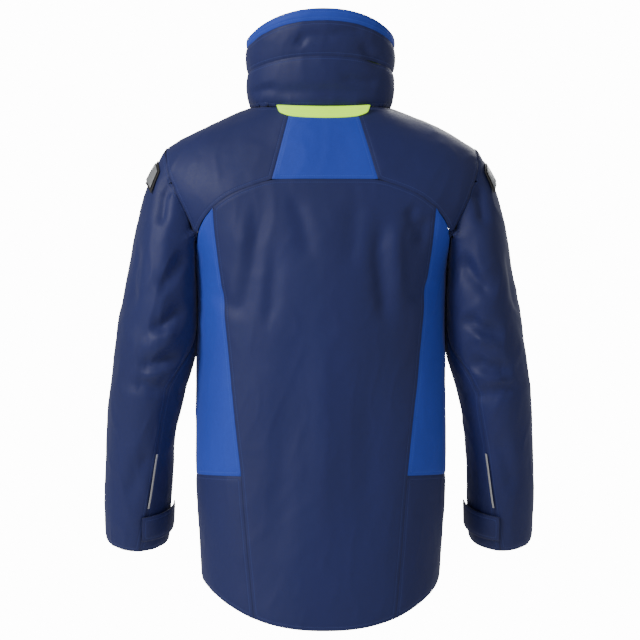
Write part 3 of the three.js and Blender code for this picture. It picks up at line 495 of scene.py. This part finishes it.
def fold_height(place, facing):
    total = 0.0
    flat = Vector((place.x, place.z))
    for side, width, depth, path, box in RUNS:
        turned = facing.y * side
        if turned < 0.05 or not (box[0] < flat.x < box[1] and box[2] < flat.y < box[3]):
            continue
        nearest, share = 1e9, 0.0
        lengths = [(b - a).length for a, b in zip(path, path[1:])]
        gone = 0.0
        for a, b, length in zip(path, path[1:], lengths):
            t = min(max((flat - a).dot(b - a) / length ** 2, 0), 1)
            away = (flat - a.lerp(b, t)).length
            if away < nearest:
                nearest, share = away, (gone + t * length) / sum(lengths)
            gone += length
        fade = min(1.0, 4 * share, 4 * (1 - share)) * min(1.0, 2.5 * turned)
        total += depth * max(fade, 0.12) * math.exp(-(nearest / width) ** 2)
    return total * (SLEEVE_FOLDS if abs(place.x) > SLEEVE_OUT else BODY_FOLDS)


def creasing(place):
    out = abs(place.x)
    on_sleeve = min(max((out - 0.195) / 0.02, 0), 1)
    elbow = math.exp(-((place.z - ELBOW_HEIGHT) / ELBOW_SPREAD) ** 2)
    return 1.0 + on_sleeve * (0.5 + 1.3 * elbow)


def drape(place, facing):
    slow = noise.noise(Vector((place.x * 11, place.y * 11, place.z * 3.2)) + Vector((3, 7, 1)))
    cross = noise.noise(Vector((place.x * 17, place.y * 17, place.z * 14)))
    slanted = Vector((place.x * 26 + 5, place.y * 26, place.z * 17 + place.x * 12))
    sharp = 1 - abs(noise.noise(slanted)) * 4
    fine = noise.noise(Vector((place.x, place.y, place.z)) * 75)
    amount = creasing(place)
    wander = 2.2 * slow + 1.1 * cross * amount + 0.55 * amount * max(sharp, 0) + 0.22 * fine
    return wander * MM + fold_height(place, facing)


print("folds", len(RUNS))

# %% [markdown]
# A garment panel is made in five moves: take the skin, round it with subdivision, let its edge
# reach the neighbour across the sewing gap, press it into its folds, and sink a narrow rim along
# every seam. Solidify then gives the cloth its thickness inward, so the outside stays in place.
# The size of the cut is measured on the flat-celled skin, before any of this shapes it. It is
# kept in a list as a long rectangle with nearly that area and that length of rim.

# %% Make a cloth panel
SEW_REACH = 0.0007
RIM = 0.004
RIM_BAND = 0.0007
RIM_SINK = 0.0013
CLOTH = 0.0016
CUT_FILL = 0.97
sheets = []


def place_tree(places):
    tree = kdtree.KDTree(len(places))
    for i, place in enumerate(places):
        tree.insert(place, i)
    tree.balance()
    return tree


def reach_out(mesh, distance):
    moves = {}
    for vert in mesh.verts:
        if not vert.is_boundary:
            continue
        rim_edges = [edge for edge in vert.link_edges if edge.is_boundary]
        away = Vector()
        for edge in rim_edges:
            face = edge.link_faces[0]
            run = (edge.verts[1].co - edge.verts[0].co).normalized()
            out = (edge.verts[0].co + edge.verts[1].co) / 2 - face.calc_center_median()
            away += (out - run * out.dot(run)).normalized()
        moves[vert] = away.normalized() * distance
    for vert, move in moves.items():
        vert.co += move


def press_folds(mesh, strength):
    mesh.normal_update()
    moved = [(vert, vert.co + vert.normal * drape(vert.co, vert.normal) * strength)
             for vert in mesh.verts]
    for vert, place in moved:
        vert.co = place


def sink_rim(mesh, width, sink):
    mesh.normal_update()
    bmesh.ops.inset_region(mesh, faces=mesh.faces, use_boundary=True, use_even_offset=False,
                           thickness=RIM_BAND, depth=0)
    mesh.normal_update()
    tree = place_tree([vert.co.copy() for vert in mesh.verts if vert.is_boundary])
    moves = [(vert, vert.normal * sink * math.exp(-tree.find(vert.co)[2] / width))
             for vert in mesh.verts]
    for vert, move in moves:
        vert.co -= move


def boundary_loop_lengths(mesh):
    waiting = dict.fromkeys(edge for edge in mesh.edges if edge.is_boundary)
    runs = []
    while waiting:
        edge = next(iter(waiting))
        del waiting[edge]
        vert, gone = edge.verts[1], edge.calc_length()
        runs.append((edge.verts[0].co.copy(), edge.verts[1].co.copy(), 0.0))
        while True:
            following = [other for other in vert.link_edges if other in waiting]
            if not following:
                break
            del waiting[following[0]]
            end = following[0].other_vert(vert)
            runs.append((vert.co.copy(), end.co.copy(), gone))
            gone += following[0].calc_length()
            vert = end
    return runs


def note_edges(data, runs):
    tree = place_tree([(a + b) / 2 for a, b, _ in runs])
    distance = data.attributes.new("edge_distance", "FLOAT", "POINT")
    along = data.attributes.new("edge_along", "FLOAT", "POINT")
    for i, vert in enumerate(data.vertices):
        best = (1e9, 0.0)
        for _, n, _ in tree.find_n(vert.co, 3):
            a, b, gone = runs[n]
            t = min(max((vert.co - a).dot(b - a) / max((b - a).length_squared, 1e-12), 0), 1)
            best = min(best, ((vert.co - a.lerp(b, t)).length, gone + t * (b - a).length))
        distance.data[i].value, along.data[i].value = best


def thicken(piece, thickness):
    wall = piece.modifiers.new("thickness", "SOLIDIFY")
    wall.thickness = thickness
    wall.offset = -1


def cut_size(area, rim_length):
    half = rim_length / 4
    spread = math.sqrt(max(half * half - area, 0))
    length = half + spread
    return length, area / length / CUT_FILL


def cloth_panel(node, material, body=SHELL, levels=3, folds=1.0, thickness=CLOTH, shape=None, rim=RIM,
                reach=SEW_REACH, tuck=0):
    mesh = outer_skin(node)
    cut_area = sum(face.calc_area() for face in mesh.faces)
    cut_rim = sum(edge.calc_length() for edge in mesh.edges if edge.is_boundary)
    cut_area += tuck * cut_rim / 2
    split_long_cells(mesh)
    mesh = subdivided(mesh, levels)
    reach_out(mesh, reach)
    if shape:
        shape(mesh)
    press_folds(mesh, folds)
    sink_rim(mesh, rim, RIM_SINK)
    runs = boundary_loop_lengths(mesh)
    piece = made_object(node + "_cloth", mesh, material)
    note_edges(piece.data, runs)
    thicken(piece, thickness)
    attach(piece, body)
    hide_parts(node)
    length, width = cut_size(cut_area, cut_rim)
    sheets.append((piece.name, width, length, cut_area))
    return piece


def pair(name):
    return [f"{name}_left", f"{name}_right"]


body_cloth = ["back_panel", *pair("back_yoke"), *pair("lower_side_panel"), *pair("front_panel"),
              *pair("front_yoke")]
for node in body_cloth:
    cloth_panel(node, navy)
for node in ["back_yoke_center", *pair("side_panel")]:
    cloth_panel(node, royal)
print("body panels", len(sheets))
for name, width, length, area in sheets:
    print(name, round(width, 3), round(length, 3), round(area, 4))

# %% [markdown]
# The sleeve panels start a few millimetres off the body, where the frame keeps them clear. Sewn
# cloth has no such gap, so the sleeve's edge is brought onto the armhole before its folds are
# pressed in, and the rows next to it follow a little less each. Below the armhole the inner side of
# each sleeve leans toward the body.

# %% Sleeves
def rim_places(panels):
    places = []
    for panel in panels:
        data = bpy.data.objects[panel + "_cloth"].data
        near = data.attributes["edge_distance"].data
        places += [vert.co.copy() for vert, gap in zip(data.vertices, near) if gap.value < 1e-5]
    return place_tree(places)


def sewn_to(seam, reach, fade, tuck=0.0):
    def shape(mesh):
        rows = [vert for vert in mesh.verts if vert.is_boundary and seam.find(vert.co)[2] < reach]
        moved = []
        for vert in rows:
            way = seam.find(vert.co)[0] - vert.co
            moved.append(way + way.normalized() * tuck)
        row_tree = place_tree([vert.co.copy() for vert in rows])
        near = []
        for vert in mesh.verts:
            _, n, gap = row_tree.find(vert.co)
            if gap < fade:
                near.append((vert, moved[n] * (1 - gap / fade) ** 2))
        for vert, move in near:
            vert.co += move
    return shape


SLEEVE_LEAN = 0.0095
ARMHOLE_REACH, ARMHOLE_FADE, ARMHOLE_TUCK = 0.022, 0.03, 0.0032


def eased(value, low, high):
    t = min(max((value - low) / (high - low), 0), 1)
    return t * t * (3 - 2 * t)


def resting_on_side(mesh):
    for vert in mesh.verts:
        inner = 1 - eased(abs(vert.co.x), 0.204, 0.235)
        height = eased(vert.co.z, -0.44, -0.36) * (1 - eased(vert.co.z, -0.20, -0.16))
        vert.co.x -= math.copysign(SLEEVE_LEAN * inner * height, vert.co.x)


armhole = rim_places([*pair("back_yoke"), *pair("front_yoke"), *pair("side_panel")])


def sleeve_shape(mesh):
    resting_on_side(mesh)
    sewn_to(armhole, ARMHOLE_REACH, ARMHOLE_FADE, tuck=ARMHOLE_TUCK)(mesh)


for node in [*pair("sleeve"), *pair("under_sleeve")]:
    cloth_panel(node, navy, shape=sleeve_shape)

# %% [markdown]
# The collar is two navy rings with a royal blue band round the top. The rolled hood fills it, so
# the rings swell softly between their seams. The lining closes the inside, and the hood itself
# shows only as a bright edge under the collar.

# %% Collar, lining and hood
SWELL_FADE = 0.012
NECK_REACH, NECK_FADE = 0.014, 0.02
COLLAR_SEW_REACH = 0.0014
TAB_TUCK, TAB_TUCK_BAND = 0.006, 0.004


def swell(height):
    def shape(mesh):
        mesh.normal_update()
        tree = place_tree([vert.co.copy() for vert in mesh.verts if vert.is_boundary])
        moves = [(vert, vert.normal * height * (1 - math.exp(-tree.find(vert.co)[2] / SWELL_FADE)))
                 for vert in mesh.verts]
        for vert, move in moves:
            vert.co += move
    return shape


neck_rim = rim_places(["back_yoke_center", *pair("back_yoke"), *pair("front_yoke")])


def collar_shape(mesh):
    swell(0.0035)(mesh)
    sewn_to(neck_rim, NECK_REACH, NECK_FADE)(mesh)


cloth_panel("collar_lower", navy, levels=3, shape=collar_shape, reach=COLLAR_SEW_REACH)
cloth_panel("collar_upper", navy, levels=3, shape=swell(0.0025), reach=COLLAR_SEW_REACH)
cloth_panel("collar_top_band", royal, levels=3, folds=0.6)
cloth_panel("collar_lining", lining, levels=2, folds=0.5)
cloth_panel("stowed_hood", hi_vis, levels=2, folds=0.5)


def under_collar(mesh):
    top = max(vert.co.z for vert in mesh.verts)
    for vert in mesh.verts:
        vert.co.z += TAB_TUCK * eased(vert.co.z, top - TAB_TUCK_BAND, top)


cloth_panel("hood_tab", hi_vis, levels=3, folds=0.4, rim=0.0015, shape=under_collar, tuck=TAB_TUCK)
for node in ["hem_facing", *pair("cuff_facing"), *pair("inner_cuff")]:
    cloth_panel(node, lining, levels=2, folds=0.5 if node == "hem_facing" else 0.2, rim=0.002)

# %% [markdown]
# Flaps and tabs are two layers of the same cloth, turned and topstitched, so they are a little
# thicker and stiffer. Each rides on the body that its fold line turns, and the pocket walls stay
# on the shell.

# %% Flaps, tabs and pockets
FLAP = 0.0024
TAB = 0.002
cloth_panel("storm_flap", navy, body="storm_flap", levels=2, folds=0.35, thickness=FLAP)
for side in ("left", "right"):
    cloth_panel(f"pocket_flap_{side}", navy, body=f"pocket_flap_{side}", levels=2, folds=0.35,
                thickness=FLAP)
    cloth_panel(f"cuff_tab_{side}", navy, body=f"cuff_tab_{side}", levels=2, folds=0.12, thickness=TAB)
    cloth_panel(f"pocket_wall_{side}", navy, levels=2, folds=0.35)

# %% [markdown]
# Small hard parts and folded strips keep their shape. A merged copy gets its flat faces
# joined again and its edges rounded with a bevel, which catches the light as a moulded edge does.

# %% Softened copies of small parts
def softened(node, material, radius, body=SHELL, turn=35):
    mesh = merged_copy(node)
    bmesh.ops.dissolve_limit(mesh, angle_limit=math.radians(2), verts=mesh.verts, edges=mesh.edges)
    sharp = [edge for edge in mesh.edges if edge.calc_face_angle(0) > math.radians(turn)]
    bmesh.ops.bevel(mesh, geom=sharp, offset=radius, offset_type="OFFSET", affect="EDGES", segments=2,
                    profile=0.5, material=-1, clamp_overlap=True)
    piece = made_object(node + "_part", mesh, material)
    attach(piece, body)
    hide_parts(node)
    return piece


softened("main_zip_slider", zip_plastic, 0.0004, body="main_zip_slider")
softened("main_zip_puller", puller_plastic, 0.0005, body="main_zip_puller")
softened("hanger_loop", tape, 0.0006)
softened("storm_flap_welt", navy, 0.0012)
softened("storm_flap_loop_strip", hook_pile, 0.0004)
for side in ("left", "right"):
    softened(f"chest_zip_slider_{side}", zip_plastic, 0.0003, body=f"chest_zip_slider_{side}")
    softened(f"chest_zip_puller_{side}", puller_plastic, 0.0005, body=f"chest_zip_puller_{side}")
    softened(f"main_zip_{side}", zip_rows, 0.0003)
    softened(f"chest_zip_{side}", zip_rows, 0.0003)
    softened(f"pocket_rail_{side}", navy, 0.0008)
    softened(f"pocket_gusset_{side}", navy, 0.0006)
    softened(f"cuff_loop_pad_{side}", hook_pile, 0.0003)
    softened(f"shoulder_patch_frame_{side}", rubber, 0.0005)
    softened(f"shoulder_patch_reflector_{side}", reflector, 0.0003)
    softened(f"forearm_piping_{side}", piping_silver, 0.0005)
